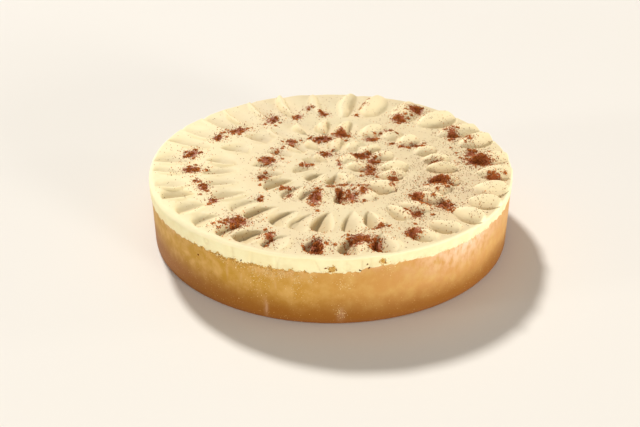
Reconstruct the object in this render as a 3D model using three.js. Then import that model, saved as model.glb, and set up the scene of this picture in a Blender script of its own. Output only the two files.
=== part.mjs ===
// A whole banoffee pie: a smooth moulded crust body under a layer of cream.
// The top of the cream is pressed into rings of dabs, each a leaf-shaped scoop with one crisp edge.
// Millimetres, +Z up. The origin is the middle of the underside, and the front of the pie faces -Y.
// Angles run from the front, counter-clockwise seen from above.

import * as THREE from "three";

const { clamp, degToRad, euclideanModulo, smoothstep } = THREE.MathUtils;

// Whole pie
const RIM_RADIUS = 120;
const RIM_HEIGHT = 46;
const RIM_WAVE = 0.35;
const CRUST_RADIUS = 119.2;
const CRUST_FOOT_ROUND = 1.5;
const LAYER_GAP = 0.3;

// Cream at the side: deepest left of the front, with a step where the crust rises right of the front
const BAND_DEPTH = 8.3;
const BAND_SWING = 2.4;
const BAND_DEEPEST_ANGLE = degToRad(-50);
const BAND_RIPPLE = 0.3;
const BAND_STEP_RISE = 2.3;
const BAND_STEP_ANGLE = degToRad(9.5);
const BAND_STEP_WIDTH = degToRad(1.5);
const BAND_STEP_FADE = degToRad(40);
const LEVEL_RADIUS = 100;

// Shoulder where the top turns down into the side, softest at the left front
const SHOULDER_ROUND = 1.6;
const SHOULDER_EXTRA = 2.6;
const SHOULDER_SOFTEST_ANGLE = degToRad(-65);
const SHOULDER_SPREAD = degToRad(40);
const SHOULDER_STEPS = 3;

// Dabs: each is a leaf-shaped scoop with a crisp edge, a wall below it and a rise back to the plain cream
const DAB_CENTRE_Y = -9.5;
const DAB_DEPTH = 5.0;
const DEPTH_VARIATION = 0.45;
const DEPTH_TILT = 1.0;
const FULL_PITCH = 13;
const END_POWER = 1.2;
const BLUNT_VARIATION = 0.3;
const DAB_LENGTH = 1.0;
const SHORTER_LEFT = 0.12;
const SHORTER_RIGHT = 0.18;
const SHORTER_VARIATION = 0.12;
const END_VARIATION = 0.1;
const SHIFT_VARIATION = 0.2;
const LEAN_FRONT = 0.05;
const LEAN_RIGHT = -0.1;
const LEAN_VARIATION = 0.12;
const WIDTH_VARIATION = 0.25;
const HEIGHT_VARIATION = 0.4;
const EDGE_WIDTH = 2.6;
const EDGE_POWER = 1.4;
const EDGE_BULGE = 0.12;
const PILLOW_ANGLE = degToRad(120);
const PILLOW_HEIGHT = 3.0;
const PILLOW_WIDTH = 4.0;
const PILLOW_SHALLOW = 0.7;
const WALL_SHARE = 0.22;
const WALL_SHARE_BROAD = 0.85;
const BROAD_ANGLE = degToRad(55);
const BROAD_OFFSET = 0.8;
const BROAD_SHARPNESS = 1.0;
const WALL_POWER = 1.0;
const WALL_ROUNDING = 0.6;
const FLOOR_SOFTNESS = 0.3;
const RIM_OVERRUN = -1.0;
const RIM_OVERRUN_BACK = 8.0;
const RIM_OVERRUN_LEFT = -4;
const BACK_SHRINK = 0.1;
const BEYOND_RIM = 2 * RIM_RADIUS;
const TRAITS = ["shift", "height", "depth", "lean", "blunt", "width", "length", "end"];
const NEIGHBOURS = [-1, 0, 1, 2];

// Sizes that change round the pie
const DEPTH_SHARE = { mean: 0.95, swing: 0.38, mostAt: degToRad(80) };
const BLUNTNESS = { mean: 0.1, swing: 0.3, mostAt: degToRad(8) };
const DAB_WIDTH = { mean: 0.85, swing: 0.17, mostAt: degToRad(-110) };
const EDGE_HEIGHT = { mean: 0.7, swing: 0.4, mostAt: degToRad(-80) };
const RISE_POWER = { mean: 1.3, swing: -0.2, mostAt: degToRad(20) };

// Rings of dabs
const DAB_RINGS = [
  { inner: 87, outer: BEYOND_RIM, count: 32, crowding: 0.087, crowdedAt: degToRad(-46), start: 0.827 },
  { inner: 57, outer: 85, count: 28, crowding: 0.214, crowdedAt: degToRad(30), start: 0.254 },
  { inner: 27, outer: 52, count: 17, crowding: 0.064, crowdedAt: degToRad(73), start: 0.471 },
  { inner: 6, outer: 26, count: 7, crowding: 0, crowdedAt: 0, start: 0.2 },
];

// Mesh steps
const ROUND_STEP = 2.8;
const RADIAL_STEP = 4;
const LEVEL_SEGMENTS = 60;
const CENTRE_RADIUS = 2.5;

// A repeatable number from -1 to 1 for one dab
function variation(ringNumber, dabNumber, trait) {
  const wave = Math.sin(ringNumber * 269.5 + dabNumber * 127.1 + trait * 311.7) * 43758.5453;
  return 2 * (wave - Math.floor(wave)) - 1;
}

function wrapAngle(angle) {
  return Math.atan2(Math.sin(angle), Math.cos(angle));
}

// Outline of the cream seen from above, a little out of round
function rimRadius(angle) {
  return RIM_RADIUS + RIM_WAVE * (Math.sin(3 * angle + 0.6) + 0.6 * Math.sin(7 * angle + 2.1));
}

// Depth of the cream at the side
function bandDepth(angle) {
  const turned = wrapAngle(angle);
  const past = turned - BAND_STEP_ANGLE;
  const stepped = smoothstep(past, -BAND_STEP_WIDTH, BAND_STEP_WIDTH);
  const step = BAND_STEP_RISE * stepped * Math.exp(-Math.max(past, 0) / BAND_STEP_FADE);
  const ripple = BAND_RIPPLE * (Math.sin(11 * turned + 1) + 0.7 * Math.sin(23 * turned + 2));
  return BAND_DEPTH + BAND_SWING * Math.cos(turned - BAND_DEEPEST_ANGLE) - step + ripple;
}

function shoulderRound(angle) {
  const away = wrapAngle(angle - SHOULDER_SOFTEST_ANGLE) / SHOULDER_SPREAD;
  return SHOULDER_ROUND + SHOULDER_EXTRA * Math.exp(-away * away);
}

// Distance from the middle of the dab rings to where the outer dabs end
function dabReach(angle) {
  const towards = -DAB_CENTRE_Y * Math.cos(angle);
  const rim = -towards + Math.sqrt(towards ** 2 + RIM_RADIUS ** 2 - DAB_CENTRE_Y ** 2);
  const backward = 0.5 - 0.5 * Math.cos(angle);
  const leftward = Math.max(-Math.sin(angle), 0);
  return rim + RIM_OVERRUN + RIM_OVERRUN_BACK * backward + RIM_OVERRUN_LEFT * leftward;
}

// A size that changes once round the pie
function swung(angle, size) {
  return size.mean + size.swing * Math.cos(angle - size.mostAt);
}

// 1 at the fullest place along a dab and 0 at its ends: a low power makes an end blunt
function leafShape(lengthwise, outerPower, innerPower) {
  const total = outerPower + innerPower;
  const fullest = ((2 * outerPower) / total) ** outerPower * ((2 * innerPower) / total) ** innerPower;
  return ((1 - lengthwise) ** outerPower * (1 + lengthwise) ** innerPower) / fullest;
}

// Height across a scoop: place goes from 0 at its crisp edge to 1 where it has risen to the plain cream
function scoopHeight(place, depth, height, angle, softness, pillow) {
  const broad = smoothstep(BROAD_OFFSET + BROAD_SHARPNESS * Math.cos(angle - BROAD_ANGLE), 0, 1);
  const wallShare = WALL_SHARE + (WALL_SHARE_BROAD - WALL_SHARE) * broad;
  const risen = clamp((place - wallShare) / (1 - wallShare), 0, 1);
  const wall = height - (height + depth) * (place / wallShare) ** (WALL_POWER + WALL_ROUNDING * pillow);
  const rise = -depth * (1 - risen) ** swung(angle, RISE_POWER);
  return (wall + rise + Math.hypot(wall - rise, softness)) / 2;
}

// Numbers from -1 to 1 for the traits of one dab
function traitsOf(ringNumber, dab) {
  return Object.fromEntries(TRAITS.map((trait, number) => [trait, variation(ringNumber, dab, number)]));
}

// Height that one dab adds at a place counted in dabs before its middle
function dabHeight(varied, before, pitch, across, angle) {
  const shorter = 1 + SHORTER_VARIATION * (1 + varied.length);
  const lengthwise = clamp(across * shorter + END_VARIATION * varied.end, -1, 1);
  const blunt = swung(angle, BLUNTNESS) * (1 + BLUNT_VARIATION * varied.blunt);
  const leaf = leafShape(lengthwise, END_POWER - blunt, END_POWER + blunt);
  if (leaf === 0) return 0;
  const leanRound = LEAN_FRONT * Math.max(Math.cos(angle), 0) + LEAN_RIGHT * Math.max(Math.sin(angle), 0);
  const lean = leanRound + LEAN_VARIATION * varied.lean;
  const edge = SHIFT_VARIATION * varied.shift - lean * lengthwise + EDGE_BULGE * (leaf - 0.5);
  const inside = (edge + before) * pitch;
  const pillow = smoothstep(Math.cos(angle - PILLOW_ANGLE) + 0.5, 0, 1);
  const narrowing = Math.sqrt(leaf);
  const fullness = Math.min(pitch / FULL_PITCH, 1) * narrowing;
  const heightRound = swung(angle, EDGE_HEIGHT) + PILLOW_HEIGHT * pillow;
  const height = heightRound * (1 + HEIGHT_VARIATION * varied.height) * fullness;
  if (inside <= 0) {
    const reach = (EDGE_WIDTH + PILLOW_WIDTH * pillow) * narrowing;
    return height * Math.max(1 - (inside / reach) ** 2, 0) ** EDGE_POWER;
  }
  const depthRound = DAB_DEPTH * swung(angle, DEPTH_SHARE) * (1 - PILLOW_SHALLOW * pillow);
  const depthHere = depthRound * (1 + DEPTH_TILT * blunt * lengthwise);
  const depth = depthHere * (1 + DEPTH_VARIATION * varied.depth) * fullness;
  const width = swung(angle, DAB_WIDTH) * (1 + WIDTH_VARIATION * varied.width) * pitch * narrowing;
  return scoopHeight(inside / width, depth, height, angle, FLOOR_SOFTNESS * narrowing, pillow);
}

// Height that one ring of dabs adds at a distance and an angle from the middle of the rings
function ringRelief(ring, ringNumber, distance, angle) {
  const shrink = 1 - BACK_SHRINK * Math.max(-Math.cos(angle), 0);
  const outer = Math.min(ring.outer * shrink, dabReach(angle));
  const sideways = Math.sin(angle);
  const length = DAB_LENGTH - SHORTER_LEFT * Math.max(-sideways, 0) - SHORTER_RIGHT * Math.max(sideways, 0);
  const inner = outer - (outer - ring.inner * shrink) * length;
  const across = (2 * distance - inner - outer) / (outer - inner);
  const past = angle - ring.crowdedAt;
  const along = (ring.count * (angle + ring.crowding * Math.sin(past))) / (2 * Math.PI) + ring.start;
  const pitch = (2 * Math.PI * distance) / (ring.count * (1 + ring.crowding * Math.cos(past)));
  let relief = 0;
  for (const offset of NEIGHBOURS) {
    const number = Math.floor(along) + offset;
    const varied = traitsOf(ringNumber, euclideanModulo(number, ring.count));
    relief += dabHeight(varied, number - along, pitch, across, angle);
  }
  return relief;
}

// Height of the cream's top, without the shoulder
function creamTop(x, y) {
  const forward = DAB_CENTRE_Y - y;
  const distance = Math.hypot(x, forward);
  const angle = Math.atan2(x, forward);
  let height = RIM_HEIGHT;
  DAB_RINGS.forEach((ring, ringNumber) => {
    height += ringRelief(ring, ringNumber, distance, angle);
  });
  return height;
}

// Height lost to the shoulder at a depth in from the rim
function shoulderDrop(angle, depth) {
  const round = shoulderRound(angle);
  const inward = Math.max(round - depth, 0);
  return round - Math.sqrt(round ** 2 - inward ** 2);
}

// A closed ring of points, from a function that gives radius and height at an angle
function ringOfPoints(segments, radiusAt, heightAt) {
  const points = [];
  for (let i = 0; i < segments; i += 1) {
    const angle = (2 * Math.PI * i) / segments;
    const radius = radiusAt(angle);
    const x = radius * Math.sin(angle);
    const y = -radius * Math.cos(angle);
    points.push([x, y, heightAt(angle, x, y)]);
  }
  return points;
}

// Triangles between two neighbouring rings, which may have different numbers of points
function zipRings(triangles, lower, upper) {
  let i = 0;
  let j = 0;
  while (i < lower.count || j < upper.count) {
    const a = lower.first + (i % lower.count);
    const b = upper.first + (j % upper.count);
    if ((i + 1) * upper.count <= (j + 1) * lower.count && i < lower.count) {
      triangles.push(a, lower.first + ((i + 1) % lower.count), b);
      i += 1;
    } else {
      triangles.push(a, upper.first + ((j + 1) % upper.count), b);
      j += 1;
    }
  }
}

// A closed solid from rings in order, up the outside from the middle of the underside to that of the top
function solidOfRings(rings, bottomHeight, topHeight) {
  const points = [[0, 0, bottomHeight], ...rings.flat(), [0, 0, topHeight]];
  const top = points.length - 1;
  const triangles = [];
  let first = 1;
  const spans = rings.map((ring) => {
    const span = { first, count: ring.length };
    first += ring.length;
    return span;
  });
  const bottomRing = spans[0];
  const topRing = spans[spans.length - 1];
  for (let i = 0; i < bottomRing.count; i += 1) {
    triangles.push(0, bottomRing.first + ((i + 1) % bottomRing.count), bottomRing.first + i);
  }
  for (let k = 0; k + 1 < spans.length; k += 1) zipRings(triangles, spans[k], spans[k + 1]);
  for (let i = 0; i < topRing.count; i += 1) {
    triangles.push(topRing.first + i, topRing.first + ((i + 1) % topRing.count), top);
  }
  const geometry = new THREE.BufferGeometry();
  geometry.setAttribute("position", new THREE.Float32BufferAttribute(points.flat(), 3));
  geometry.setIndex(triangles);
  geometry.computeVertexNormals();
  return geometry;
}

function segmentsAt(radius) {
  return Math.max(8, Math.round((2 * Math.PI * radius) / ROUND_STEP));
}

const creamEdge = (angle) => RIM_HEIGHT - bandDepth(angle);
const creamLevel = RIM_HEIGHT - BAND_DEPTH;
const rimSegments = segmentsAt(RIM_RADIUS);

function crustGeometry() {
  const flat = (height) => () => height;
  const round = (radius) => () => radius;
  const rings = [
    ringOfPoints(rimSegments, round(CRUST_RADIUS - CRUST_FOOT_ROUND), flat(0)),
    ringOfPoints(rimSegments, round(CRUST_RADIUS), flat(CRUST_FOOT_ROUND)),
    ringOfPoints(rimSegments, round(CRUST_RADIUS), (angle) => creamEdge(angle) - LAYER_GAP),
    ringOfPoints(LEVEL_SEGMENTS, round(LEVEL_RADIUS), flat(creamLevel - LAYER_GAP)),
  ];
  return solidOfRings(rings, 0, creamLevel - LAYER_GAP);
}

// Rings of the cream's top, from the shoulder inwards
function creamTopRings() {
  const rings = [];
  for (let step = 0; step <= SHOULDER_STEPS; step += 1) {
    const turn = (0.5 * Math.PI * step) / SHOULDER_STEPS;
    const depthAt = (angle) => shoulderRound(angle) * (1 - Math.cos(turn));
    const heightAt = (angle, x, y) => creamTop(x, y) - shoulderDrop(angle, depthAt(angle));
    rings.push(ringOfPoints(rimSegments, (angle) => rimRadius(angle) - depthAt(angle), heightAt));
  }
  const deepest = SHOULDER_ROUND + SHOULDER_EXTRA;
  const reach = RIM_RADIUS - deepest - CENTRE_RADIUS;
  const steps = Math.round(reach / RADIAL_STEP);
  for (let step = 1; step <= steps; step += 1) {
    const inward = step / steps;
    const radiusAt = (angle) => {
      const start = rimRadius(angle) - shoulderRound(angle);
      return start + (CENTRE_RADIUS - start) * inward;
    };
    const segments = segmentsAt(RIM_RADIUS + (CENTRE_RADIUS - RIM_RADIUS) * inward);
    rings.push(ringOfPoints(segments, radiusAt, (angle, x, y) => creamTop(x, y)));
  }
  return rings;
}

function creamGeometry() {
  const rings = [
    ringOfPoints(LEVEL_SEGMENTS, () => LEVEL_RADIUS, () => creamLevel),
    ringOfPoints(rimSegments, () => CRUST_RADIUS, creamEdge),
    ringOfPoints(rimSegments, rimRadius, creamEdge),
    ...creamTopRings(),
  ];
  return solidOfRings(rings, creamLevel, creamTop(0, 0));
}

function part(name, geometry, color, roughness) {
  const mesh = new THREE.Mesh(geometry, new THREE.MeshStandardMaterial({ color, roughness, metalness: 0 }));
  mesh.name = name;
  return mesh;
}

const pie = new THREE.Group();
pie.add(part("crust", crustGeometry(), 0xcc9c50, 0.65));
pie.add(part("cream", creamGeometry(), 0xf4e6bf, 0.5));

export default pie;
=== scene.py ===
"""A whole banoffee pie: a smooth golden crust under cream pressed into rings of dabs, dusted with cinnamon.

Shapes are worked out in millimetres, in the frame of the solids, and turned into metres when a mesh is made.
Angles run from the front of the pie, counter-clockwise seen from above.
"""
import math

import bpy
import numpy as np
from mathutils import Matrix, Vector


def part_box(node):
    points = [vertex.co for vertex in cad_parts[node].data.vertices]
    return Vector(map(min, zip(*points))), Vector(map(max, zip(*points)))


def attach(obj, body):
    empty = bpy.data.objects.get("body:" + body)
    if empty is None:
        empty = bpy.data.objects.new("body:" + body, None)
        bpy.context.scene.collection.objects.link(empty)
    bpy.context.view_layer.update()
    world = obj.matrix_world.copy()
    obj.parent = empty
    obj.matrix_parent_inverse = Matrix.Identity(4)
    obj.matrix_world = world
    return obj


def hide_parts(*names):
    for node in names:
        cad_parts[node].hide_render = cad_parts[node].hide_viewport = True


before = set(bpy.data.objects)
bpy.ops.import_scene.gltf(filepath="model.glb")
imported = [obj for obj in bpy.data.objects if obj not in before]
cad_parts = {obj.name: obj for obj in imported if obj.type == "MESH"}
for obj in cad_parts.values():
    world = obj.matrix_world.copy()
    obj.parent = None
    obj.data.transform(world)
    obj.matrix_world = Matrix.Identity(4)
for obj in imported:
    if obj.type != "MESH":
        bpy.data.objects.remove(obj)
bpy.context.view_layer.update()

# Units, and a least size that keeps divisions finite
MM = 0.001
TURN = 2 * math.pi
TINY = 0.01

# Whole pie
CRUST_LOW, CRUST_HIGH = (np.array(corner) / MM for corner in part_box("crust"))
CRUST_RADIUS = (CRUST_HIGH[0] - CRUST_LOW[0]) / 2
CREAM_OVERHANG = 0.8
RIM_RADIUS = CRUST_RADIUS + CREAM_OVERHANG
RIM_HEIGHT = 46.0
CRUST_FOOT_ROUND = 1.5

# Waves that close on themselves round the pie: height, then number of waves, phase and share of each
RIM_WAVE = 0.35
RIM_WAVES = [(3, 0.6, 1), (7, 2.1, 0.6)]
BAND_RIPPLE = 0.3
BAND_RIPPLES = [(11, 1, 1), (23, 2, 0.7)]

# Cream at the side
BAND_DEPTH = 8.3
BAND_SWING = 2.4
BAND_DEEPEST_ANGLE = math.radians(-50)
BAND_STEP_RISE = 2.3
BAND_STEP_ANGLE = math.radians(9.5)
BAND_STEP_WIDTH = math.radians(1.5)
BAND_STEP_FADE = math.radians(40)

# Shoulder where the top turns down into the side
SHOULDER_ROUND = 1.6
SHOULDER_EXTRA = 2.6
SHOULDER_SOFTEST_ANGLE = math.radians(-65)
SHOULDER_SPREAD = math.radians(40)
SHOULDER_STEPS = 8
# Where the painted light on the shoulder starts and ends, as shares of its drop
SHOULDER_START = 0.15
SHOULDER_END = 0.5

# Dabs: each is a leaf-shaped scoop with a crisp edge, a wall below it and a rise back to the plain cream
DAB_CENTRE_Y = -9.5
DAB_DEPTH = 5.0
DEPTH_VARIATION = 0.45
DEPTH_TILT = 1.0
FULL_PITCH = 13
END_POWER = 1.2
BLUNT_VARIATION = 0.3
DAB_LENGTH = 1.0
SHORTER_LEFT = 0.12
SHORTER_RIGHT = 0.18
SHORTER_VARIATION = 0.12
END_VARIATION = 0.1
SHIFT_VARIATION = 0.2
LEAN_FRONT = 0.05
LEAN_RIGHT = -0.1
LEAN_VARIATION = 0.12
WIDTH_VARIATION = 0.25
HEIGHT_VARIATION = 0.4
EDGE_WIDTH = 2.6
EDGE_POWER = 1.4
EDGE_BULGE = 0.12
PILLOW_ANGLE = math.radians(120)
PILLOW_OFFSET = 0.5
PILLOW_HEIGHT = 3.0
PILLOW_WIDTH = 4.0
PILLOW_SHALLOW = 0.7
WALL_SHARE = 0.22
WALL_SHARE_BROAD = 0.85
BROAD_ANGLE = math.radians(55)
BROAD_OFFSET = 0.8
BROAD_SHARPNESS = 1.0
WALL_POWER = 1.0
WALL_ROUNDING = 0.6
FLOOR_SOFTNESS = 0.3
RIM_OVERRUN = -1.0
RIM_OVERRUN_BACK = 8.0
RIM_OVERRUN_LEFT = -4
BACK_SHRINK = 0.1
BEYOND_RIM = 2 * RIM_RADIUS
TRAITS = ("shift", "height", "depth", "lean", "blunt", "width", "length", "end")

# Dabs of a ring that may reach a place, counted from the last one before it
NEIGHBOURS = (-1, 0, 1, 2)

# Factors that scatter the differences between dabs: for the ring, the dab, the trait and the whole
RING_FACTOR = 269.5
DAB_FACTOR = 127.1
TRAIT_FACTOR = 311.7
SCATTER_FACTOR = 43758.5453

# Sizes that change round the pie: mean, swing, angle where they are largest in degrees
DEPTH_SHARE = (0.95, 0.38, 80)
BLUNTNESS = (0.1, 0.3, 8)
DAB_WIDTH = (0.85, 0.17, -110)
EDGE_HEIGHT = (0.7, 0.4, -80)
RISE_POWER = (1.3, -0.2, 20)

# Rings of dabs: inner radius, outer radius, number of dabs, crowding, most crowded angle in degrees, start
DAB_RINGS = [
    (87, BEYOND_RIM, 32, 0.087, -46, 0.827),
    (57, 85, 28, 0.214, 30, 0.254),
    (27, 52, 17, 0.064, 73, 0.471),
    (6, 26, 7, 0.0, 0, 0.2),
]

# Fine unevenness of the cream: number of waves, their lengths and their height
FIELD_WAVES = 24
LAND_WAVES = (10, 34)
LAND_HEIGHT = 0.16
FINE_WAVES = (2.2, 6)
FINE_HEIGHT = 0.05
EDGE_WAVES = (2.5, 9)
EDGE_RAGGED = 0.55
BAND_WAVES = (3, 14)
BAND_UNEVEN = 0.10
BAND_TOP = 2.2

# Creases in the side of the cream: angle in degrees, slant, width, depth
BAND_CREASES = [
    (-27.8, 0.02, 0.55, 0.4), (-21.6, -0.05, 0.5, 0.4), (-14.8, 0.1, 0.8, 0.3), (-13.2, -0.3, 0.6, 0.3),
    (-4.5, 0.45, 0.5, 0.4), (8.4, 0.0, 0.5, 0.4), (10.9, -0.06, 0.5, 0.45), (4.2, 0.1, 0.6, 0.25),
    (62, 0.1, 0.8, 0.4), (-62, 0.1, 0.8, 0.3), (118, -0.1, 0.8, 0.4), (171, 0.1, 0.7, 0.4),
    (-120, 0.1, 0.8, 0.4),
]

# Round marks in the side of the cream: angle in degrees, depth below the rim, radius, width, depth
BAND_LOOPS = [(-36.9, 4.6, 1.7, 0.5, 0.35), (4.5, 6.4, 2.2, 0.5, 0.3)]

# Tints of the cream: the height or the places across over which each one grows, and its share. The torn edge
# shows the crust's own colour; the others are painted shade in the hollows and creases, and painted light on
# the crests and at the left
TORN_HEIGHT = 0.8
# Painted shade in the hollows of the top
HOLLOW_SHADE_DEPTH = 3.4
HOLLOW_SHADE_SHARE = 0.45
# Painted light on the crests, strongest at the right
CREST_LIGHT_RISE = 2.2
# Painted shade in the creases of the side
CREASE_SHADE_DEPTH = 0.4
CREASE_SHADE = 0.6
# Painted light that makes the top lighter and yellower at the left
LEFT_LIGHT_FADE = (-110, -30)

# Painted shade on the crust: heights where the shade low on the side fades, its rise at the left, wavering of
# its edge, the painted shade at the foot, and the side from left to right, darker at the left as painted
# shade
LOW_SHADE_FADE = (8, 27)
LOW_SHADE_TILT = 0.05
LOW_SHADE_WAVER = 9
LOW_SHADE_WAVER_SIZE = 14
# Painted shade at the foot of the crust
FOOT_SHADE_FADE = (0.5, 5)
# Painted shade: the crust darker at the left than at the right
CRUST_SIDE_SHADE_FADE = (-70, 60)

# Cinnamon piles: x, y, half width, half length, thickness
POWDER_PILES = [
    (-55, -81, 6.5, 5.5, 1.0), (-35, -97, 3, 5, 0.8), (-8, -111, 3.2, 9, 2.0), (17, -100, 6.5, 5.5, 1.0),
    (26, -105, 3, 7, 1.1), (10, -113, 1.8, 6, 0.6), (29, -86, 4, 2.4, 0.7), (48, -92, 4.6, 3.6, 1.0),
    (51, -71, 4.4, 4, 1.0), (70, -60, 5, 4.4, 1.0), (53, -50, 3, 6, 1.1), (59, -60, 2.2, 3.2, 0.7),
    (69, -31, 7, 5, 1.1), (105, -23, 4.3, 3.2, 1.0), (99, 0, 7.5, 5, 1.2), (96, 12, 4, 6, 0.9),
    (86, 43, 3.4, 9, 1.0), (97, 33, 3, 5, 0.5), (64, 88, 5, 7, 1.1), (50, 70, 4.4, 6, 1.1),
    (25, 92, 2, 4, 0.5), (19, 78, 1.8, 3, 0.5), (-6, 80, 2.6, 4.6, 1.2), (-17, 90, 1.8, 4, 0.8),
    (-24, 75, 2.6, 4.6, 0.9), (-43, 70, 3.6, 7.5, 1.1), (-67, 50, 6, 5, 1.1), (-79, 38, 3.6, 4.4, 1.0),
    (-94, 11, 5, 4.6, 1.0), (-91, -13, 5.6, 4.6, 1.0), (-80, -38, 3.2, 5, 0.9), (-86, -29, 2, 2.4, 0.8),
    (-72, -55, 3.2, 3.4, 0.8), (-27, 30, 3.4, 4.4, 0.9), (-36, 18, 4, 4, 0.4), (-42, 2, 5, 4.4, 1.0),
    (-43, -22, 4, 4.6, 0.9), (-43, -52, 2.4, 3.4, 0.8), (-27, -38, 5, 2, 0.6), (-25, -47, 2, 5, 0.6),
    (-9, -50, 3.0, 8, 1.6), (6, -45, 2.4, 7, 0.9), (13, -48, 5, 6, 0.8), (21, -42, 2.4, 5, 0.9),
    (12, -34, 12, 1.6, 0.5), (41, -25, 2.4, 3.2, 0.8), (39, -38, 2, 2, 0.5), (26, -14, 4.4, 7, 0.8),
    (28, 0, 3.4, 4, 1.0), (20, 8, 7, 3.6, 1.2), (-3, 11, 4.2, 3.2, 0.9), (-16, -5, 4.6, 2, 0.7),
    (6, -5, 1.8, 3, 0.7), (-6, 35, 6.5, 3.8, 1.2), (8, 42, 5, 4.6, 1.0), (28, 35, 4, 3.6, 0.9),
    (41, 46, 4.4, 2, 0.7), (43, 28, 3, 2, 0.6), (50, 23, 4, 2, 0.7), (60, 24, 4.4, 3, 0.8),
    (71, -2, 3, 3.4, 0.8),
]

# Grains of the piles: number, places of clumps and strays, size, darkening towards the core
PILE_GRAINS = 23
PILE_SPREAD = 0.84
PILE_CLUMPS = 0.4
LEAST_CLUMPS = 3
CLUMP_SPREAD = 0.66
STRAY_SHARE = 0.3
STRAY_SPREAD = 1.25
PILE_HEIGHT = 0.8
PILE_GRAIN_SIZE = (0.36, 1.05)
CORE_SHADE = 0.8
CORE_FULL = 1.6
POWDER_MARGIN = 2.5
POWDER_SEED = 7

# Stain of the powder on the cream under a pile
STAIN_FADE = 0.9
STAIN_START = (0.05, 0.25)
STAIN_SPECKLE = (0.6, 0.78)
STAIN_GROWTH = 0.45
STAIN_GRAIN = 1.3
STAIN_DETAIL = 4

# Loose dust: thickest round a place at the right, in patches, and round the piles
DUST_COUNT = 60000
DUST_SIZE = (0.3, 0.8)
DUST_CENTRE = (80, -35)
DUST_REACH = (45, 55)
DUST_LEAST = 0.025
DUST_MOST = 0.32
DUST_PATCHES = 0.5
DUST_WAVES = (8, 25)
DUST_HALO = 0.15
HALO_REACH = 1.5

# One grain: an eight-sided body with uneven corners
GRAIN_CORNERS = np.array([(1, 0, 0), (-1, 0, 0), (0, 1, 0), (0, -1, 0), (0, 0, 1), (0, 0, -1)], dtype=float)
GRAIN_FACES = np.array([
    (0, 2, 4), (2, 1, 4), (1, 3, 4), (3, 0, 4), (2, 0, 5), (1, 2, 5), (3, 1, 5), (0, 3, 5),
])
GRAIN_ROUGHNESS = (0.65, 1.3)

# Crumbs along the lower edge of the cream: number, angle and spread in degrees, height over the edge
EDGE_CRUMBS = 420
CRUMB_ANGLE = -25
CRUMB_SPREAD = 9
CRUMB_HEIGHT = -0.4
CRUMB_RISE = 0.6
CRUMB_SEED = 11

# Grains on the side: their sizes, then patches by angle in degrees, depth below the rim, spread and number
CRUMB_SIZE = (0.5, 1.2)
CRUMB_PATCHES = [(0.6, 7.4, 0.95, 170), (14.2, 4.2, 0.8, 100), (-16, 11.5, 0.8, 20), (-33, 10.2, 0.9, 16)]
DOT_SIZE = (0.7, 1.2)
DARK_DOTS = [
    (0.0, 8.4, 0.25, 4), (1.7, 8.0, 0.2, 3), (-1.2, 7.0, 0.2, 2), (9.8, 5.0, 0.15, 2), (10.6, 8.4, 0.2, 3),
    (8, 8.8, 0.5, 3), (-40.7, 17, 0.2, 3), (-32.3, 10.6, 0.3, 4), (-25, 9.2, 0.3, 3), (15, 4.8, 0.3, 3),
]
FLECK_SIZE = (0.3, 0.75)
FLECK_PATCHES = [
    (-17, 14, 2.2, 110), (-13, 13.5, 1.8, 80), (-21, 14, 2.4, 80), (-31, 12.5, 1.2, 30),
    (-26, 12.5, 1.8, 70), (-9, 14, 2.4, 60), (-5, 15, 1.6, 30), (4, 18, 3.2, 60),
    (-9, 22, 4, 50), (16, 9, 2.4, 40), (-20, 22, 5, 70), (3, 38, 2.2, 40),
]

# Smears of cream on the crust: angle in degrees, height, half width, half height, thickness
CREAM_SMEARS = [
    (-18, 8, 1.0, 5, 0.4), (3, 7, 2.0, 4, 0.3), (-30, 27, 0.6, 6, 0.2), (-25.5, 25, 0.5, 5, 0.2),
    (-22.5, 27, 0.4, 4, 0.15), (-15, 24, 0.5, 4, 0.15), (22, 34, 4, 2, 0.3), (112, 30, 2, 6, 0.3),
    (-140, 30, 2, 6, 0.3),
]

# Thin cream drawn down over the crust: angle and spread in degrees, depth below the cream, thickness
CREAM_FILMS = [(42, 15, 13, 1.0), (12, 7, 3, 0.35), (-12, 9, 5, 0.3), (-55, 10, 3, 0.3)]
FILM_STRETCH = (1, 1, 0.6)

# Colours, linear
CREAM_TOP = (0.80, 0.635, 0.365)
CREAM_TOP_YELLOW = (0.83, 0.68, 0.395)
# Painted light: the top lighter and yellower at the left
CREAM_LEFT_LIGHT = (0.93, 0.775, 0.435)
# Painted light on the crests
CREAM_CREST_LIGHT = (0.92, 0.76, 0.445)
# Painted shade in the hollows of the top and the creases of the side
CREAM_HOLLOW_SHADE = (0.56, 0.39, 0.18)
CREAM_DUSTY = (0.78, 0.585, 0.34)
CREAM_BAND = (0.80, 0.69, 0.38)
CREAM_BAND_PALE = (0.84, 0.76, 0.45)
# Painted light on the slope of the shoulder
CREAM_SHOULDER_LIGHT = (0.96, 0.84, 0.52)
CREAM_FILM = (0.82, 0.56, 0.37)
POWDER_STAIN = (0.38, 0.09, 0.02)
CINNAMON_DARK = (0.21, 0.04, 0.007)
CINNAMON_LIGHT = (0.84, 0.29, 0.07)
DUST_DARK = (0.22, 0.085, 0.024)
DUST_LIGHT = (0.48, 0.21, 0.07)
CRUST_TOP = (0.60, 0.33, 0.085)
# Painted shade: the crust darker at the left than at the right, and more olive
CRUST_LEFT_SHADE = (0.46, 0.24, 0.020)
CRUST_RIGHT = (0.56, 0.27, 0.07)
CRUST_PALE = (0.59, 0.335, 0.09)
# Painted shade low on the side of the crust
CRUST_LOW_SHADE = (0.28, 0.10, 0.010)
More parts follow.
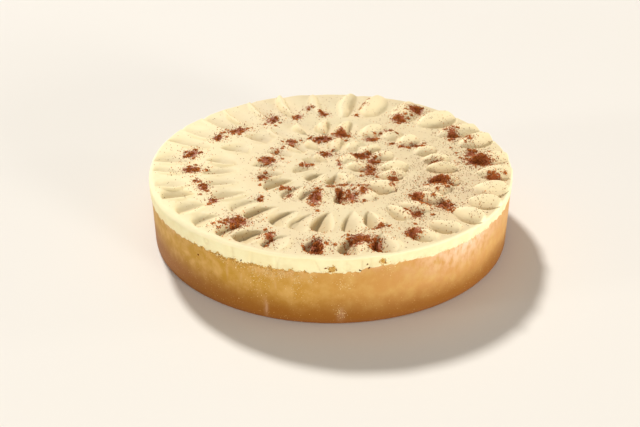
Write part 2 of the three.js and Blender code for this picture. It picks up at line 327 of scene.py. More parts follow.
# Painted shade at the foot of the crust
CRUST_FOOT_SHADE = (0.25, 0.085, 0.014)
CRUST_SPECK = (0.60, 0.34, 0.11)
CRUMB_DARK = (0.46, 0.22, 0.035)
CRUMB_LIGHT = (0.80, 0.52, 0.16)
FLECK_DARK = (0.66, 0.42, 0.14)
FLECK_LIGHT = (0.88, 0.70, 0.36)
DOT_DARK = (0.05, 0.015, 0.005)
FLOOR_COLOUR = (0.84, 0.785, 0.705)
FLOOR_COLOUR_OTHER = (0.835, 0.78, 0.695)

# Surfaces: roughness, gloss
CREAM_SURFACE = (0.6, 0.25)
CRUST_SURFACE = (0.5, 0.2)
GRAIN_SURFACE = (0.9, 0.05)
FLOOR_SURFACE = (0.8, 0.2)

# Patches of a second colour: size, noise where they begin and where they are full, detail
TOP_PATCHES = (28, 0.35, 0.65, 3)
BAND_PATCHES = (9, 0.3, 0.7, 3)
DUSTY_PATCHES = (5, 0.2, 0.7, 5)
TORN_PATCHES = (1.1, 0.52, 0.66, 3)
CRUST_PATCHES = (7, 0.35, 0.75, 5)
CRUST_SPECKS = (0.8, 0.66, 0.72, 2)
FILM_PATCHES = (3.5, 0.25, 0.65, 6)
FLOOR_PATCHES = (400, 0.3, 0.7, 3)
NOISE_ROUGHNESS = 0.55

# Grain of a surface too fine for the mesh: size, depth, detail
CREAM_GRAIN = (1.6, 0.12, 4)
CRUST_GRAIN = (2.2, 0.1, 5)
POWDER_GRAIN = (0.4, 0.05, 3)

# Light that goes a little way into the cream: share, depth of each colour, scale
CREAM_GLOW = 0.05
GLOW_RADIUS = (1.0, 0.7, 0.4)
GLOW_SCALE = 2

# Mesh: distances between points, tuck of the cream's underside, numbers of points and rings
TOP_STEP = 0.85
SIDE_STEP = 0.7
CRUST_STEP = 1.2
CREAM_TUCK = 2
CENTRE_RADIUS = 1.0
LEAST_SEGMENTS = 12
FOOT_STEPS = 4
CRUST_STEPS = 30
SIDE_STEPS = math.ceil(BAND_DEPTH / SIDE_STEP)
TOP_STEPS = round((RIM_RADIUS - CENTRE_RADIUS) / TOP_STEP)

# Suns: direction and height in degrees, strength, apparent size in degrees
SUNS = {
    "key": (203, 44, 3.15, 7),
    "fill": (45, 5, 2.55, 14),
    "front": (10, 38, 0.2, 20),
    "left_side": (-75, 4, 1.45, 10),
    "right_side": (95, 4, 0.75, 10),
}
SKY_COLOUR = (1, 0.98, 0.95, 1)
SKY_STRENGTH = 0.29
FLOOR_REACH = 6000

# Camera: fitted to the rim in the photograph, with its distance from the middle of the rim
PHOTO_WIDTH = 640
PHOTO_HEIGHT = 427
FOCAL_PIXELS = 889.5
CAMERA_ELEVATION = math.radians(26.19)
CAMERA_ROLL = math.radians(0.26)
CAMERA_DISTANCE = 594.96
RIM_CENTRE_PIXEL = (330.56, 161.28)
SENSOR_WIDTH = 36.0


def smoothstep(value):
    bounded = np.clip(value, 0, 1)
    return bounded * bounded * (3 - 2 * bounded)


def variation(ring_number, dab_number, trait):
    """A repeatable number from -1 to 1 for one dab."""
    phase = ring_number * RING_FACTOR + dab_number * DAB_FACTOR + trait * TRAIT_FACTOR
    scattered = np.sin(phase) * SCATTER_FACTOR
    return 2 * (scattered - np.floor(scattered)) - 1


def wrap_angle(angle):
    return np.arctan2(np.sin(angle), np.cos(angle))


def wave_field(seed, lengths):
    """A smooth random function of place, mostly between -1 and 1, as a sum of plane waves."""
    rng = np.random.default_rng(seed)
    directions = rng.normal(size=(FIELD_WAVES, 3))
    directions /= np.linalg.norm(directions, axis=1, keepdims=True)
    rates = TURN / rng.uniform(*lengths, FIELD_WAVES)
    phases = rng.uniform(0, TURN, FIELD_WAVES)

    def field(x, y, z):
        total = np.zeros_like(x)
        for (along_x, along_y, along_z), rate, phase in zip(directions, rates, phases):
            total += np.sin(rate * (along_x * x + along_y * y + along_z * z) + phase)
        return total / math.sqrt(FIELD_WAVES)

    return field


land_field = wave_field(seed=1, lengths=LAND_WAVES)
fine_field = wave_field(seed=2, lengths=FINE_WAVES)
edge_field = wave_field(seed=3, lengths=EDGE_WAVES)
dust_field = wave_field(seed=4, lengths=DUST_WAVES)
band_field = wave_field(seed=5, lengths=BAND_WAVES)


def waves_round(angle, waves):
    """Sum of waves round the pie."""
    return sum(share * np.sin(number * angle + phase) for number, phase, share in waves)


def rim_radius(angle):
    return RIM_RADIUS + RIM_WAVE * waves_round(angle, RIM_WAVES)


def band_depth(angle):
    """How far the cream reaches down the side."""
    turned = wrap_angle(angle)
    past = turned - BAND_STEP_ANGLE
    stepped = smoothstep((past + BAND_STEP_WIDTH) / (2 * BAND_STEP_WIDTH))
    step = BAND_STEP_RISE * stepped * np.exp(-np.maximum(past, 0) / BAND_STEP_FADE)
    ripple = BAND_RIPPLE * waves_round(turned, BAND_RIPPLES)
    return BAND_DEPTH + BAND_SWING * np.cos(turned - BAND_DEEPEST_ANGLE) - step + ripple


def cream_edge(angle):
    """Height of the lower edge of the cream."""
    x = RIM_RADIUS * np.sin(angle)
    y = -RIM_RADIUS * np.cos(angle)
    return RIM_HEIGHT - band_depth(angle) + EDGE_RAGGED * edge_field(x, y, np.zeros_like(x))


def shoulder_round(angle):
    """Radius of the shoulder."""
    away = wrap_angle(angle - SHOULDER_SOFTEST_ANGLE) / SHOULDER_SPREAD
    return SHOULDER_ROUND + SHOULDER_EXTRA * np.exp(-away * away)


def dab_reach(angle):
    """How far the outer dabs reach from the middle of the rings."""
    towards = -DAB_CENTRE_Y * np.cos(angle)
    rim = -towards + np.sqrt(towards ** 2 + RIM_RADIUS ** 2 - DAB_CENTRE_Y ** 2)
    backward = 0.5 - 0.5 * np.cos(angle)
    leftward = np.maximum(-np.sin(angle), 0)
    return rim + RIM_OVERRUN + RIM_OVERRUN_BACK * backward + RIM_OVERRUN_LEFT * leftward


def swung(angle, size):
    """A size that changes once round the pie."""
    mean, swing, most_at = size
    return mean + swing * np.cos(angle - math.radians(most_at))


def leaf_shape(lengthwise, outer_power, inner_power):
    """1 at the fullest place along a dab and 0 at its ends: a low power makes an end blunt."""
    total = outer_power + inner_power
    fullest = (2 * outer_power / total) ** outer_power * (2 * inner_power / total) ** inner_power
    return (1 - lengthwise) ** outer_power * (1 + lengthwise) ** inner_power / fullest


def scoop_height(place, depth, height, angle, softness, pillow):
    """Height across a scoop: place goes from 0 at its crisp edge to 1 where it has risen to plain cream."""
    broad = smoothstep(BROAD_OFFSET + BROAD_SHARPNESS * np.cos(angle - BROAD_ANGLE))
    wall_share = WALL_SHARE + (WALL_SHARE_BROAD - WALL_SHARE) * broad
    risen = np.clip((place - wall_share) / (1 - wall_share), 0, 1)
    wall = height - (height + depth) * (place / wall_share) ** (WALL_POWER + WALL_ROUNDING * pillow)
    rise = -depth * (1 - risen) ** swung(angle, RISE_POWER)
    return (wall + rise + np.hypot(wall - rise, softness)) / 2


def dab_height(ring_number, dab, before, pitch, across, angle):
    """Height that one dab adds at a place counted in dabs before its middle."""
    varied = {trait: variation(ring_number, dab, number) for number, trait in enumerate(TRAITS)}
    shorter = 1 + SHORTER_VARIATION * (1 + varied["length"])
    lengthwise = np.clip(across * shorter + END_VARIATION * varied["end"], -1, 1)
    blunt = swung(angle, BLUNTNESS) * (1 + BLUNT_VARIATION * varied["blunt"])
    leaf = leaf_shape(lengthwise, END_POWER - blunt, END_POWER + blunt)
    lean = LEAN_FRONT * np.maximum(np.cos(angle), 0) + LEAN_RIGHT * np.maximum(np.sin(angle), 0)
    lean += LEAN_VARIATION * varied["lean"]
    edge = SHIFT_VARIATION * varied["shift"] - lean * lengthwise + EDGE_BULGE * (leaf - 0.5)
    inside = (edge + before) * pitch
    pillow = smoothstep(np.cos(angle - PILLOW_ANGLE) + PILLOW_OFFSET)
    narrowing = np.sqrt(leaf)
    fullness = np.minimum(pitch / FULL_PITCH, 1) * narrowing
    depth = DAB_DEPTH * swung(angle, DEPTH_SHARE) * (1 - PILLOW_SHALLOW * pillow)
    depth *= (1 + DEPTH_VARIATION * varied["depth"]) * (1 + DEPTH_TILT * blunt * lengthwise) * fullness
    height = (swung(angle, EDGE_HEIGHT) + PILLOW_HEIGHT * pillow) * fullness
    height *= 1 + HEIGHT_VARIATION * varied["height"]
    width = swung(angle, DAB_WIDTH) * (1 + WIDTH_VARIATION * varied["width"]) * pitch * narrowing
    place = np.maximum(inside, 0) / np.maximum(width, TINY)
    scoop = scoop_height(place, depth, height, angle, FLOOR_SOFTNESS * narrowing, pillow)
    reach = np.maximum((EDGE_WIDTH + PILLOW_WIDTH * pillow) * narrowing, TINY)
    ridge = height * np.maximum(1 - (inside / reach) ** 2, 0) ** EDGE_POWER
    return np.where(inside > 0, scoop, ridge)


def ring_relief(ring, ring_number, distance, angle):
    """Height that one ring of dabs adds at a distance and an angle from the middle of the rings."""
    inner, outer, count, crowding, crowded_at, first = ring
    shrink = 1 - BACK_SHRINK * np.maximum(-np.cos(angle), 0)
    outer = np.minimum(outer * shrink, dab_reach(angle))
    sideways = np.sin(angle)
    length = DAB_LENGTH - SHORTER_LEFT * np.maximum(-sideways, 0) - SHORTER_RIGHT * np.maximum(sideways, 0)
    inner = outer - (outer - inner * shrink) * length
    across = (2 * distance - inner - outer) / (outer - inner)
    past = angle - math.radians(crowded_at)
    along = count * (angle + crowding * np.sin(past)) / TURN + first
    pitch = TURN * distance / (count * (1 + crowding * np.cos(past)))
    relief = np.zeros_like(distance)
    for offset in NEIGHBOURS:
        number = np.floor(along) + offset
        relief += dab_height(ring_number, np.mod(number, count), number - along, pitch, across, angle)
    return relief


def cream_top(x, y):
    """Height of the cream at places on the top."""
    forward = DAB_CENTRE_Y - y
    distance = np.hypot(x, forward)
    angle = np.arctan2(x, forward)
    height = np.full_like(x, RIM_HEIGHT)
    for ring_number, ring in enumerate(DAB_RINGS):
        height += ring_relief(ring, ring_number, distance, angle)
    level = np.zeros_like(x)
    return height + LAND_HEIGHT * land_field(x, y, level) + FINE_HEIGHT * fine_field(x, y, level)


def shoulder_drop(angle, inside):
    """Drop of the shoulder below the top at a distance inside the rim."""
    rounding = shoulder_round(angle)
    short = np.maximum(rounding - inside, 0)
    return rounding - np.sqrt(rounding ** 2 - short ** 2)


def shoulder_light_share(angle, drop):
    """Share of the painted light on the shoulder: 1 on its slope and 0 on the top and the side, from the drop
    below the top.
    """
    fallen = drop / shoulder_round(angle)
    return smoothstep(fallen / SHOULDER_START) * smoothstep((1 - fallen) / (1 - SHOULDER_END))


def ring_points(segments, radius_at, height_at):
    """Points of a ring from its radius and height at each angle."""
    angle = TURN * np.arange(segments) / segments
    radius = radius_at(angle)
    x = radius * np.sin(angle)
    y = -radius * np.cos(angle)
    return np.column_stack([x, y, height_at(angle, x, y)])


def zip_rings(first_a, count_a, first_b, count_b):
    """Triangles between two neighbouring rings, which may have different numbers of points."""
    when = np.concatenate([(np.arange(count_a) + 1) / count_a, (np.arange(count_b) + 1) / count_b])
    on_a = np.arange(count_a + count_b) < count_a
    on_a = on_a[np.lexsort((~on_a, when))]
    i = np.cumsum(on_a) - on_a
    j = np.cumsum(~on_a) - ~on_a
    corner = np.where(on_a, first_a + (i + 1) % count_a, first_b + (j + 1) % count_b)
    return np.column_stack([first_a + i % count_a, corner, first_b + j % count_b])


def fan(middle, first, count, upward):
    """Triangles between a ring and the point in its middle."""
    i = np.arange(count)
    edge = (first + i, first + (i + 1) % count)
    here, there = edge if upward else edge[::-1]
    return np.column_stack([here, there, np.full(count, middle)])


def ring_solid(rings, bottom_height, top_height):
    """Points and triangles of a closed solid: rings go up the outside from underside to top."""
    points = np.vstack([[[0, 0, bottom_height]], *rings, [[0, 0, top_height]]])
    counts = [len(ring) for ring in rings]
    firsts = np.concatenate([[1], 1 + np.cumsum(counts)]).astype(int)
    triangles = [fan(0, firsts[0], counts[0], upward=False)]
    for k in range(len(rings) - 1):
        triangles.append(zip_rings(firsts[k], counts[k], firsts[k + 1], counts[k + 1]))
    triangles.append(fan(len(points) - 1, firsts[len(rings) - 1], counts[-1], upward=True))
    return points, np.vstack(triangles)


def segments_at(radius, step):
    return max(LEAST_SEGMENTS, round(TURN * radius / step))


def mesh_piece(name, points, triangles, material, replaced=None, layers=None):
    """A mesh object from points in millimetres, with named values for each point as layers."""
    mesh = bpy.data.meshes.new(name)
    mesh.from_pydata(points * MM, [], triangles)
    mesh.shade_smooth()
    mesh.materials.append(material)
    for layer_name, values in (layers or {}).items():
        layer = mesh.attributes.new(layer_name, "FLOAT", "POINT")
        layer.data.foreach_set("value", np.asarray(values, dtype=np.float32))
    piece = bpy.data.objects.new(name, mesh)
    bpy.context.scene.collection.objects.link(piece)
    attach(piece, "root")
    if replaced:
        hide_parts(replaced)
    return piece


def band_relief(angle, height):
    """How far the side of the cream stands out at an angle and a height."""
    x = RIM_RADIUS * np.sin(angle)
    y = -RIM_RADIUS * np.cos(angle)
    below_rim = RIM_HEIGHT - height
    relief = BAND_UNEVEN * band_field(x, y, height)
    for at, slant, width, depth in BAND_CREASES:
        away = RIM_RADIUS * wrap_angle(angle - math.radians(at)) - slant * below_rim
        relief -= depth * np.exp(-(away / width) ** 2)
    for at, drop, radius, width, depth in BAND_LOOPS:
        away = np.hypot(RIM_RADIUS * wrap_angle(angle - math.radians(at)), below_rim - drop)
        relief -= depth * np.exp(-((away - radius) / width) ** 2)
    return relief * smoothstep(below_rim / BAND_TOP - 0.5)


def pushed_out(points):
    """Points of the side moved out or in by the relief of the band."""
    x, y, z = points.T
    stretch = 1 + band_relief(np.arctan2(x, -y), z) / np.hypot(x, y)
    return np.column_stack([x * stretch, y * stretch, z])


def round_ring(segments, radius, height_at):
    """A ring with one radius all round."""
    return ring_points(segments, lambda angle: np.full_like(angle, radius), height_at)


def cream_side_ring(segments, share):
    """A ring of the side of the cream, from its lower edge at 0 to the shoulder at 1."""
    def height_at(angle, x, y):
        low = cream_edge(angle)
        high = cream_top(x, y) - shoulder_round(angle)
        return low + (high - low) * share

    return pushed_out(ring_points(segments, rim_radius, height_at))


def shoulder_ring(segments, inward):
    """A ring of the shoulder, from the side at 0 to the top at 1."""
    def radius_at(angle):
        return rim_radius(angle) - shoulder_round(angle) * inward

    def height_at(angle, x, y):
        return cream_top(x, y) - shoulder_drop(angle, shoulder_round(angle) * inward)

    return ring_points(segments, radius_at, height_at)


def top_ring(inward):
    """A ring of the top, from the shoulder at 0 to the middle at 1."""
    def radius_at(angle):
        start = rim_radius(angle) - shoulder_round(angle)
        return start + (CENTRE_RADIUS - start) * inward

    segments = segments_at(RIM_RADIUS + (CENTRE_RADIUS - RIM_RADIUS) * inward, TOP_STEP)
    return ring_points(segments, radius_at, lambda angle, x, y: cream_top(x, y))


def cream_rings():
    segments = segments_at(RIM_RADIUS, TOP_STEP)
    rings = [round_ring(segments, CRUST_RADIUS - CREAM_TUCK, lambda angle, x, y: cream_edge(angle))]
    for step in range(SIDE_STEPS):
        rings.append(cream_side_ring(segments, step / SIDE_STEPS))
    for step in range(SHOULDER_STEPS + 1):
        rings.append(shoulder_ring(segments, 1 - math.cos(math.pi / 2 * step / SHOULDER_STEPS)))
    for step in range(1, TOP_STEPS + 1):
        rings.append(top_ring(step / TOP_STEPS))
    return rings


def foot_ring(segments, share):
    """A ring of the rounded foot, from the underside at 0 to the side at 1."""
    turn = math.pi / 2 * share
    radius = CRUST_RADIUS - CRUST_FOOT_ROUND * (1 - math.sin(turn))
    height = CRUST_FOOT_ROUND * (1 - math.cos(turn))
    return round_ring(segments, radius, lambda angle, x, y: np.full_like(angle, height))


def crust_side_ring(segments, share):
    """A ring of the side of the crust, from the foot at 0 to the cream at 1."""
    def height_at(angle, x, y):
        return CRUST_FOOT_ROUND + (cream_edge(angle) - CRUST_FOOT_ROUND) * share

    return round_ring(segments, CRUST_RADIUS, height_at)


def crust_rings():
    segments = segments_at(CRUST_RADIUS, CRUST_STEP)
    rings = []
    for step in range(FOOT_STEPS + 1):
        rings.append(foot_ring(segments, step / FOOT_STEPS))
    for step in range(1, CRUST_STEPS + 1):
        rings.append(crust_side_ring(segments, step / CRUST_STEPS))
    return rings


def node(tree, kind, inputs=None, **settings):
    """A shader node: inputs are sockets to link or constants to set."""
    made = tree.nodes.new(kind)
    for name, value in settings.items():
        setattr(made, name, value)
    for name, value in (inputs or {}).items():
        socket = made.inputs[name]
        if isinstance(value, bpy.types.NodeSocket):
            tree.links.new(value, socket)
        elif isinstance(value, tuple) and len(value) == 3 and socket.type == "RGBA":
            socket.default_value = (*value, 1)
        else:
            socket.default_value = value
    return made


def mixed(tree, share, first, second):
    """Colour that goes from first to second as share goes from 0 to 1."""
    return node(tree, "ShaderNodeMixRGB", {"Fac": share, "Color1": first, "Color2": second}).outputs["Color"]


def graded(tree, value, low, high):
    """Share that goes from 0 to 1 as value goes from low to high."""
    settings = {"Value": value, "From Min": low, "From Max": high}
    return node(tree, "ShaderNodeMapRange", settings, interpolation_type="SMOOTHSTEP").outputs["Result"]


def product(tree, first, second):
    return node(tree, "ShaderNodeMath", {0: first, 1: second}, operation="MULTIPLY").outputs["Value"]


def added(tree, value, factor, start):
    """Start plus value times factor."""
    settings = {0: value, 1: factor, 2: start}
    return node(tree, "ShaderNodeMath", settings, operation="MULTIPLY_ADD").outputs["Value"]


def noise(tree, place, size, detail=3):
    """Noise between 0 and 1 with a size in millimetres."""
    settings = {"Vector": place, "Scale": 1 / (size * MM), "Detail": detail, "Roughness": NOISE_ROUGHNESS}
    return node(tree, "ShaderNodeTexNoise", settings).outputs["Fac"]


def patches(tree, place, kind):
    """Share of a second colour in patches."""
    size, begin, full, detail = kind
    return graded(tree, noise(tree, place, size, detail), begin, full)


def faded(tree, distance, limits):
    """Share that goes from 0 to 1 between two distances in millimetres."""
    near, far = limits
    return graded(tree, distance, near * MM, far * MM)


def layer_value(tree, name):
    """Value of one of the layers of a mesh."""
    return node(tree, "ShaderNodeAttribute", attribute_name=name).outputs["Fac"]


def new_material(name, surface):
    """A material with its tree, its shader and the place on the piece."""
    material = bpy.data.materials.new(name)
    material.use_nodes = True
    tree = material.node_tree
    shader = tree.nodes["Principled BSDF"]
    roughness, gloss = surface
    shader.inputs["Roughness"].default_value = roughness
    shader.inputs["Specular IOR Level"].default_value = gloss
    place = node(tree, "ShaderNodeTexCoord").outputs["Object"]
    return material, tree, shader, place


def bump(tree, shader, place, grain):
    """Fine unevenness too small for the mesh."""
    size, depth, detail = grain
    settings = {"Height": noise(tree, place, size, detail), "Distance": depth * MM}
    tree.links.new(node(tree, "ShaderNodeBump", settings).outputs["Normal"], shader.inputs["Normal"])


def axis(tree, place, name):
    """One coordinate of a place."""
    return node(tree, "ShaderNodeSeparateXYZ", {"Vector": place}).outputs[name]


def cream_top_colour(tree, place):
    """Colour of the top: painted light makes it lighter and yellower at the left, it is dusty at the right,
    and painted light makes the crests pale.
    """
    patchy = mixed(tree, patches(tree, place, TOP_PATCHES), CREAM_TOP, CREAM_TOP_YELLOW)
    # Painted light: the top lighter and yellower at the left
    top = mixed(tree, faded(tree, axis(tree, place, "X"), LEFT_LIGHT_FADE), CREAM_LEFT_LIGHT, patchy)
    dusty = product(tree, layer_value(tree, "dusty"), patches(tree, place, DUSTY_PATCHES))
    # Painted light on the crests, strongest at the right
    return mixed(tree, layer_value(tree, "crest_light"), mixed(tree, dusty, top, CREAM_DUSTY), CREAM_CREST_LIGHT)


def powder_stain(tree, place):
    """Share of the powder's stain: speckled, and thicker under a pile."""
    powder = layer_value(tree, "powder")
    clumped = added(tree, powder, STAIN_GROWTH, noise(tree, place, STAIN_GRAIN, STAIN_DETAIL))
    return product(tree, graded(tree, powder, *STAIN_START), graded(tree, clumped, *STAIN_SPECKLE))


def cream_material():
    material, tree, shader, place = new_material("cream", CREAM_SURFACE)
    band = mixed(tree, patches(tree, place, BAND_PATCHES), CREAM_BAND, CREAM_BAND_PALE)
    sided = mixed(tree, layer_value(tree, "band"), cream_top_colour(tree, place), band)
    # Painted light on the slope of the shoulder
    plain = mixed(tree, layer_value(tree, "shoulder"), sided, CREAM_SHOULDER_LIGHT)
    # Painted shade in the hollows of the top and the creases of the side
    clean = mixed(tree, product(tree, layer_value(tree, "hollow_shade"), HOLLOW_SHADE_SHARE), plain, CREAM_HOLLOW_SHADE)
    dusted = mixed(tree, powder_stain(tree, place), clean, POWDER_STAIN)
    torn = product(tree, layer_value(tree, "torn"), patches(tree, place, TORN_PATCHES))
    tree.links.new(mixed(tree, torn, dusted, CRUST_TOP), shader.inputs["Base Color"])
    shader.inputs["Subsurface Weight"].default_value = CREAM_GLOW
    shader.inputs["Subsurface Radius"].default_value = GLOW_RADIUS
    shader.inputs["Subsurface Scale"].default_value = GLOW_SCALE * MM
    bump(tree, shader, place, CREAM_GRAIN)
    return material


def low_shade_height(tree, place):
    """Height on the crust, lowered at the left and wavering, that the painted shade low on the side follows.
    """
    leftward = node(tree, "ShaderNodeMath", {0: axis(tree, place, "X"), 1: 0.0}, operation="MINIMUM")
    tilted = added(tree, leftward.outputs["Value"], LOW_SHADE_TILT, axis(tree, place, "Z"))
    return added(tree, noise(tree, place, LOW_SHADE_WAVER_SIZE), LOW_SHADE_WAVER * MM, tilted)


def crust_material():
    material, tree, shader, place = new_material("crust", CRUST_SURFACE)
    # Painted shade: the crust darker at the left than at the right, and more olive
    side = mixed(tree, faded(tree, axis(tree, place, "X"), CRUST_SIDE_SHADE_FADE), CRUST_LEFT_SHADE, CRUST_RIGHT)
    mottled = mixed(tree, patches(tree, place, CRUST_PATCHES), side, CRUST_PALE)
    # Painted shade low on the side of the crust
    lower = mixed(tree, faded(tree, low_shade_height(tree, place), LOW_SHADE_FADE), CRUST_LOW_SHADE, mottled)
    # Painted shade at the foot of the crust
    foot = mixed(tree, faded(tree, axis(tree, place, "Z"), FOOT_SHADE_FADE), CRUST_FOOT_SHADE, lower)
    pitted = mixed(tree, patches(tree, place, CRUST_SPECKS), foot, CRUST_SPECK)
    stretched = node(tree, "ShaderNodeMapping", {"Vector": place, "Scale": FILM_STRETCH}).outputs["Vector"]
    film = product(tree, layer_value(tree, "film"), patches(tree, stretched, FILM_PATCHES))
    tree.links.new(mixed(tree, film, pitted, CREAM_FILM), shader.inputs["Base Color"])
    bump(tree, shader, place, CRUST_GRAIN)
    return material


def grain_material(name, dark, light):
    material, tree, shader, place = new_material(name, GRAIN_SURFACE)
    tree.links.new(mixed(tree, layer_value(tree, "tone"), dark, light), shader.inputs["Base Color"])
    bump(tree, shader, place, POWDER_GRAIN)
    return material


def floor_material():
    material, tree, shader, place = new_material("floor", FLOOR_SURFACE)
    tone = mixed(tree, patches(tree, place, FLOOR_PATCHES), FLOOR_COLOUR, FLOOR_COLOUR_OTHER)
    tree.links.new(tone, shader.inputs["Base Color"])
    return material


def aimed_camera():
    rim_centre = Vector((0, 0, RIM_HEIGHT * MM))
    back = Vector((0, -math.cos(CAMERA_ELEVATION), math.sin(CAMERA_ELEVATION)))
    base = Matrix.Rotation(math.pi / 2 - CAMERA_ELEVATION, 3, "X")
    roll = Matrix.Rotation(-CAMERA_ROLL, 3, "Z")
    aim = Vector((
        (RIM_CENTRE_PIXEL[0] - PHOTO_WIDTH / 2) / FOCAL_PIXELS,
        -(RIM_CENTRE_PIXEL[1] - PHOTO_HEIGHT / 2) / FOCAL_PIXELS,
        -1,
    ))
    turn = Vector((0, 0, -1)).rotation_difference(aim).to_matrix()
    rotation = base @ roll.inverted() @ turn.inverted()
    data = bpy.data.cameras.new("camera")
    data.sensor_width = SENSOR_WIDTH
    data.lens = SENSOR_WIDTH * FOCAL_PIXELS / PHOTO_WIDTH
    camera = bpy.data.objects.new("camera", data)
    camera.matrix_world = Matrix.Translation(rim_centre + back * CAMERA_DISTANCE * MM) @ rotation.to_4x4()
    bpy.context.scene.collection.objects.link(camera)
    bpy.context.scene.camera = camera


def sun(name, azimuth, elevation, strength, angle):
    data = bpy.data.lights.new(name, "SUN")
    data.energy = strength
    data.angle = math.radians(angle)
    light = bpy.data.objects.new(name, data)
    turn = math.radians(azimuth)
    rise = math.radians(elevation)
    towards = Vector((math.sin(turn) * math.cos(rise), -math.cos(turn) * math.cos(rise), math.sin(rise)))
    light.rotation_euler = towards.to_track_quat("Z", "Y").to_euler()
    bpy.context.scene.collection.objects.link(light)


def powder_cover(x, y):
    """How thickly the powder lies, from 0 to 1, at places on the top."""
    cover = np.zeros_like(x)
    for pile_x, pile_y, half_x, half_y, thickness in POWDER_PILES:
        away = ((x - pile_x) / half_x) ** 2 + ((y - pile_y) / half_y) ** 2
        cover = np.maximum(cover, thickness * np.exp(-STAIN_FADE * away))
    return cover


def dress_cream():
    middle = float(cream_top(np.zeros(1), np.zeros(1))[0])
    points, triangles = ring_solid(cream_rings(), RIM_HEIGHT - BAND_DEPTH, middle)
    x, y, z = points.T
    angle = np.arctan2(x, -y)
    out = np.hypot(x, y) - rim_radius(angle)
    layers = {
        "powder": powder_cover(x, y) * smoothstep(-out / BAND_TOP - 1),
        "band": smoothstep((out + BAND_TOP) / BAND_TOP),
        "dusty": dustiness(x, y),
        # Painted light on the crests, strongest at the right
        "crest_light": smoothstep((z - RIM_HEIGHT) / CREST_LIGHT_RISE) * (1 + np.sin(angle)) / 2,
        # Painted shade in the hollows of the top and the creases of the side
        "hollow_shade": np.maximum(
            smoothstep((RIM_HEIGHT - z) / HOLLOW_SHADE_DEPTH) * smoothstep(-out / BAND_TOP - 1),
            CREASE_SHADE * np.clip(-band_relief(angle, z) / CREASE_SHADE_DEPTH, 0, 1),
        ),
        # Painted light on the slope of the shoulder
        "shoulder": shoulder_light_share(angle, cream_top(x, y) - z),
        "torn": np.exp(-np.maximum(z - cream_edge(angle), 0) / TORN_HEIGHT),
    }
    mesh_piece("cream_layer", points, triangles, cream_material(), "cream", layers)


def dress_crust():
    points, triangles = ring_solid(crust_rings(), 0, RIM_HEIGHT - BAND_DEPTH)
    x, y, z = points.T
    angle = np.arctan2(x, -y)
    under_cream = cream_edge(angle) - z
    smeared = np.zeros_like(x)
    for at, spread, depth, thickness in CREAM_FILMS:
        away = wrap_angle(angle - math.radians(at)) / math.radians(spread)
        smeared = np.maximum(smeared, thickness * np.exp(-away ** 2 - (under_cream / depth) ** 2))
    for at, height, half_width, half_height, thickness in CREAM_SMEARS:
        away = CRUST_RADIUS * wrap_angle(angle - math.radians(at)) / half_width
        smeared = np.maximum(smeared, thickness * np.exp(-away ** 2 - ((z - height) / half_height) ** 2))
    mesh_piece("crust_body", points, triangles, crust_material(), "crust", {"film": smeared})


def random_turns(rng, count):
    """Rotation matrices from random quaternions, spread evenly over all directions."""
    a, b, c, d = np.moveaxis(rng.normal(size=(count, 4)), 1, 0)
    size = np.sqrt(a * a + b * b + c * c + d * d)
    a, b, c, d = a / size, b / size, c / size, d / size
    rows = [
        [1 - 2 * (c * c + d * d), 2 * (b * c - a * d), 2 * (b * d + a * c)],
        [2 * (b * c + a * d), 1 - 2 * (b * b + d * d), 2 * (c * d - a * b)],
        [2 * (b * d - a * c), 2 * (c * d + a * b), 1 - 2 * (b * b + c * c)],
    ]
    return np.moveaxis(np.array(rows), 2, 0)


def grain_piece(rng, name, places, size_range, material, tones):
    """One piece of rough eight-sided grains round the places, each with its tone."""
    count = len(places)
    sizes = rng.uniform(*size_range, count)
    corner_count = len(GRAIN_CORNERS)
    roughness = rng.uniform(*GRAIN_ROUGHNESS, (count, corner_count, 1))
    corners = GRAIN_CORNERS[None] * roughness * sizes[:, None, None] / 2
    corners = np.einsum("nij,nkj->nki", random_turns(rng, count), corners)
    points = (places[:, None] + corners).reshape(-1, 3)
    triangles = (GRAIN_FACES[None] + corner_count * np.arange(count)[:, None, None]).reshape(-1, 3)
    mesh_piece(name, points, triangles, material, layers={"tone": np.repeat(tones, corner_count)})


def pile_places(rng):
    """Places and tones of the grains: each pile has small clumps and a dark core, with strays further out."""
    places = []
    tones = []
    for pile_x, pile_y, half_x, half_y, thickness in POWDER_PILES:
        clumps = max(LEAST_CLUMPS, int(PILE_CLUMPS * half_x * half_y))
        centres = rng.normal(size=(clumps, 2)) * PILE_SPREAD * (half_x, half_y)
        count = int(PILE_GRAINS * thickness * half_x * half_y)
        spot = centres[rng.integers(clumps, size=count)] + rng.normal(size=(count, 2)) * CLUMP_SPREAD
        strays = rng.normal(size=(count, 2)) * STRAY_SPREAD * (half_x, half_y)
        spot = np.where(rng.uniform(size=(count, 1)) < STRAY_SHARE, strays, spot)
        away = (spot[:, 0] / half_x) ** 2 + (spot[:, 1] / half_y) ** 2
        x = pile_x + spot[:, 0]
        y = pile_y + spot[:, 1]
        core = thickness * np.exp(-away)
        z = cream_top(x, y) + PILE_HEIGHT * core * rng.uniform(0, 1, count)
        places.append(np.column_stack([x, y, z]))
        tones.append(rng.uniform(0, 1, count) * (1 - CORE_SHADE * np.minimum(core / CORE_FULL, 1)))
    return np.vstack(places), np.concatenate(tones)


def dustiness(x, y):
    """How much fine powder lies at places on the top, most at the right."""
    away = np.hypot((x - DUST_CENTRE[0]) / DUST_REACH[0], (y - DUST_CENTRE[1]) / DUST_REACH[1])
    return np.exp(-away ** 2)


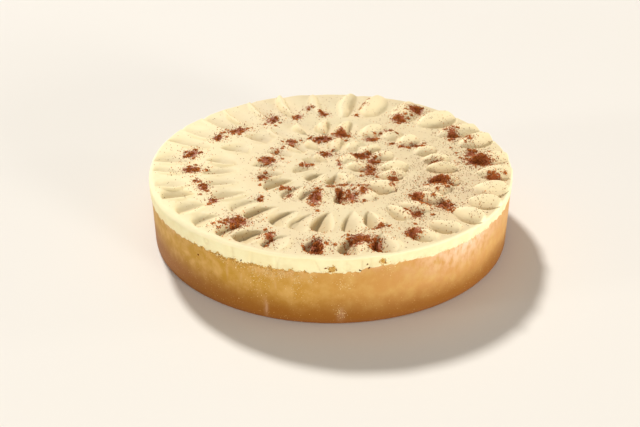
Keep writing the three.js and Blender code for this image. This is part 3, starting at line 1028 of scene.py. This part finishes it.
def dust_places(rng):
    """Places of single specks all over the top, thicker at the right."""
    radius = RIM_RADIUS * np.sqrt(rng.uniform(0, 1, DUST_COUNT))
    angle = rng.uniform(-math.pi, math.pi, DUST_COUNT)
    x = radius * np.sin(angle)
    y = -radius * np.cos(angle)
    patchy = 1 + DUST_PATCHES * dust_field(x, y, np.zeros_like(x))
    share = (DUST_LEAST + DUST_MOST * dustiness(x, y)) * patchy + DUST_HALO * powder_halo(x, y)
    kept = rng.uniform(size=DUST_COUNT) < share
    x, y = x[kept], y[kept]
    return np.column_stack([x, y, cream_top(x, y)])


def powder_halo(x, y):
    """How much the dust thickens round the piles, from 0 to 1."""
    halo = np.zeros_like(x)
    for pile_x, pile_y, half_x, half_y, thickness in POWDER_PILES:
        reach = HALO_REACH * max(half_x, half_y)
        halo += thickness * np.exp(-((x - pile_x) ** 2 + (y - pile_y) ** 2) / reach ** 2)
    return np.minimum(halo, 1)


def inside_rim(places):
    """Which places are on the top and not on the shoulder of the rim."""
    return np.hypot(places[:, 0], places[:, 1]) < RIM_RADIUS - POWDER_MARGIN


def dress_powder():
    rng = np.random.default_rng(POWDER_SEED)
    material = grain_material("cinnamon", CINNAMON_DARK, CINNAMON_LIGHT)
    places, tones = pile_places(rng)
    kept = inside_rim(places)
    grain_piece(rng, "cinnamon_piles", places[kept], PILE_GRAIN_SIZE, material, tones[kept])
    places = dust_places(rng)
    places = places[inside_rim(places)]
    material = grain_material("cinnamon_dust", DUST_DARK, DUST_LIGHT)
    grain_piece(rng, "cinnamon_dust", places, DUST_SIZE, material, rng.uniform(0, 1, len(places)))


def side_places(angle, height):
    """Places on the side of the pie from angles in degrees and heights."""
    turned = np.radians(angle)
    radius = np.where(height > cream_edge(turned), rim_radius(turned), CRUST_RADIUS)
    return np.column_stack([radius * np.sin(turned), -radius * np.cos(turned), height])


def patch_places(rng, grain_patches):
    """Places of grains in patches on the side, given by angle, depth below the rim, spread and count."""
    places = []
    for at, drop, spread, count in grain_patches:
        angle = at + np.degrees(spread / RIM_RADIUS) * rng.normal(size=count)
        places.append(side_places(angle, RIM_HEIGHT - drop + spread * rng.normal(size=count)))
    return np.vstack(places)


def dress_crumbs():
    rng = np.random.default_rng(CRUMB_SEED)
    angle = rng.normal(CRUMB_ANGLE, CRUMB_SPREAD, EDGE_CRUMBS)
    height = cream_edge(np.radians(angle)) + rng.normal(CRUMB_HEIGHT, CRUMB_RISE, EDGE_CRUMBS)
    places = np.vstack([side_places(angle, height), patch_places(rng, CRUMB_PATCHES)])
    material = grain_material("crumb", CRUMB_DARK, CRUMB_LIGHT)
    grain_piece(rng, "edge_crumbs", places, CRUMB_SIZE, material, rng.uniform(0, 1, len(places)))
    places = patch_places(rng, DARK_DOTS)
    material = grain_material("dark_dot", DOT_DARK, CINNAMON_DARK)
    grain_piece(rng, "dark_dots", places, DOT_SIZE, material, rng.uniform(0, 1, len(places)))
    places = patch_places(rng, FLECK_PATCHES)
    material = grain_material("cream_fleck", FLECK_DARK, FLECK_LIGHT)
    grain_piece(rng, "cream_flecks", places, FLECK_SIZE, material, rng.uniform(0, 1, len(places)))


def floor():
    mesh = bpy.data.meshes.new("floor")
    half = FLOOR_REACH * MM
    corners = [(-half, -half, 0), (half, -half, 0), (half, half, 0), (-half, half, 0)]
    mesh.from_pydata(corners, [], [(0, 1, 2, 3)])
    mesh.materials.append(floor_material())
    plane = bpy.data.objects.new("floor", mesh)
    bpy.context.scene.collection.objects.link(plane)


def studio():
    for name, (azimuth, elevation, strength, angle) in SUNS.items():
        sun(name, azimuth, elevation, strength, angle)
    world = bpy.data.worlds.new("studio")
    world.use_nodes = True
    sky = world.node_tree.nodes["Background"]
    sky.inputs["Color"].default_value = SKY_COLOUR
    sky.inputs["Strength"].default_value = SKY_STRENGTH
    bpy.context.scene.world = world
    bpy.context.scene.view_settings.view_transform = "Standard"


dress_cream()
dress_crust()
dress_powder()
dress_crumbs()
floor()
aimed_camera()
studio()
